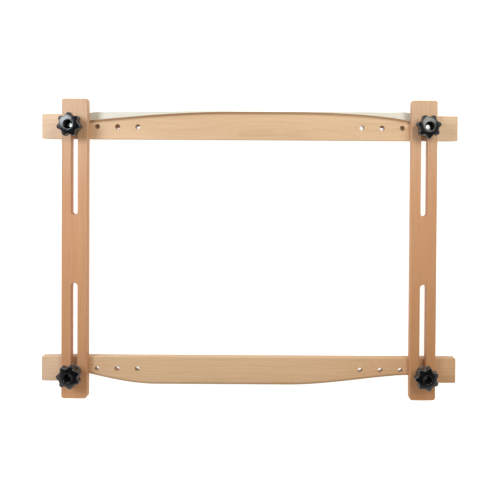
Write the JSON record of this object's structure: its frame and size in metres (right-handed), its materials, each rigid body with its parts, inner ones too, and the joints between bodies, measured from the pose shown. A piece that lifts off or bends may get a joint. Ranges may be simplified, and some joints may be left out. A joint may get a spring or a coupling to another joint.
{
  "type": "embroidery frame",
  "caption": "Flat adjustable wooden embroidery frame: crowned rails clamped behind slotted side bars by star knobs, with webbing for sewing on the cloth.",
  "frame": {"origin": "centre of the bounding box's underside: midway between the bars and between the rails, on the surface that the frame lies on", "axes": "+X along the rails to the right, +Y along the side bars to the top rail, +Z from the back to the knobs at the front"},
  "size_m": [0.7, 0.5, 0.0569],
  "materials": {
    "beech_rail": "fine sanded, unvarnished",
    "beech_bar": "fine sanded, unvarnished",
    "zinc_steel": "bright zinc plate",
    "black_plastic": "semi-gloss moulded",
    "cotton_webbing": "plain woven"
  },
  "bodies": {
    "side_bars": {"left_side_bar": "beech_bar", "right_side_bar": "beech_bar"},
    "top_rail": {"top_rail": "beech_rail", "top_webbing": "cotton_webbing", "top_staples": "zinc_steel", "top_left_bolt": "zinc_steel", "top_right_bolt": "zinc_steel"},
    "bottom_rail": {"bottom_rail": "beech_rail", "bottom_webbing": "cotton_webbing", "bottom_staples": "zinc_steel", "bottom_left_bolt": "zinc_steel", "bottom_right_bolt": "zinc_steel"},
    "top_left_washer": {"top_left_washer": "zinc_steel"},
    "top_left_knob": {"top_left_knob": "black_plastic", "top_left_insert": "zinc_steel"},
    "top_right_washer": {"top_right_washer": "zinc_steel"},
    "top_right_knob": {"top_right_knob": "black_plastic", "top_right_insert": "zinc_steel"},
    "bottom_left_washer": {"bottom_left_washer": "zinc_steel"},
    "bottom_left_knob": {"bottom_left_knob": "black_plastic", "bottom_left_insert": "zinc_steel"},
    "bottom_right_washer": {"bottom_right_washer": "zinc_steel"},
    "bottom_right_knob": {"bottom_right_knob": "black_plastic", "bottom_right_insert": "zinc_steel"}
  },
  "joints": [
    {"name": "top_rail_slide", "type": "slide", "parent": "side_bars", "child": "top_rail", "axis": [0, -1, 0], "range_m": [0, 0.1436]},
    {"name": "bottom_rail_slide", "type": "slide", "parent": "side_bars", "child": "bottom_rail", "axis": [0, 1, 0], "range_m": [0, 0.1436]},
    {"name": "top_left_washer_lift", "type": "slide", "parent": "top_rail", "child": "top_left_washer", "axis": [0, 0, 1], "range_m": [0, 0.0026]},
    {"name": "top_left_knob_turn", "type": "hinge", "parent": "top_left_washer", "child": "top_left_knob", "pos_m": [-0.2905, 0.2045, 0.0309], "axis": [0, 0, 1], "range_deg": [0, 720]},
    {"name": "top_right_washer_lift", "type": "slide", "parent": "top_rail", "child": "top_right_washer", "axis": [0, 0, 1], "range_m": [0, 0.0026]},
    {"name": "top_right_knob_turn", "type": "hinge", "parent": "top_right_washer", "child": "top_right_knob", "pos_m": [0.2905, 0.2045, 0.0309], "axis": [0, 0, 1], "range_deg": [0, 720]},
    {"name": "bottom_left_washer_lift", "type": "slide", "parent": "bottom_rail", "child": "bottom_left_washer", "axis": [0, 0, 1], "range_m": [0, 0.0026]},
    {"name": "bottom_left_knob_turn", "type": "hinge", "parent": "bottom_left_washer", "child": "bottom_left_knob", "pos_m": [-0.2905, -0.2045, 0.0309], "axis": [0, 0, 1], "range_deg": [0, 720]},
    {"name": "bottom_right_washer_lift", "type": "slide", "parent": "bottom_rail", "child": "bottom_right_washer", "axis": [0, 0, 1], "range_m": [0, 0.0026]},
    {"name": "bottom_right_knob_turn", "type": "hinge", "parent": "bottom_right_washer", "child": "bottom_right_knob", "pos_m": [0.2905, -0.2045, 0.0309], "axis": [0, 0, 1], "range_deg": [0, 720]}
  ],
  "couplings": [
    {"joint": "top_left_washer_lift", "follows": "top_left_knob_turn", "m_per_rad": 0.00019894},
    {"joint": "top_right_washer_lift", "follows": "top_right_knob_turn", "m_per_rad": 0.00019894},
    {"joint": "bottom_left_washer_lift", "follows": "bottom_left_knob_turn", "m_per_rad": 0.00019894},
    {"joint": "bottom_right_washer_lift", "follows": "bottom_right_knob_turn", "m_per_rad": 0.00019894}
  ]
}
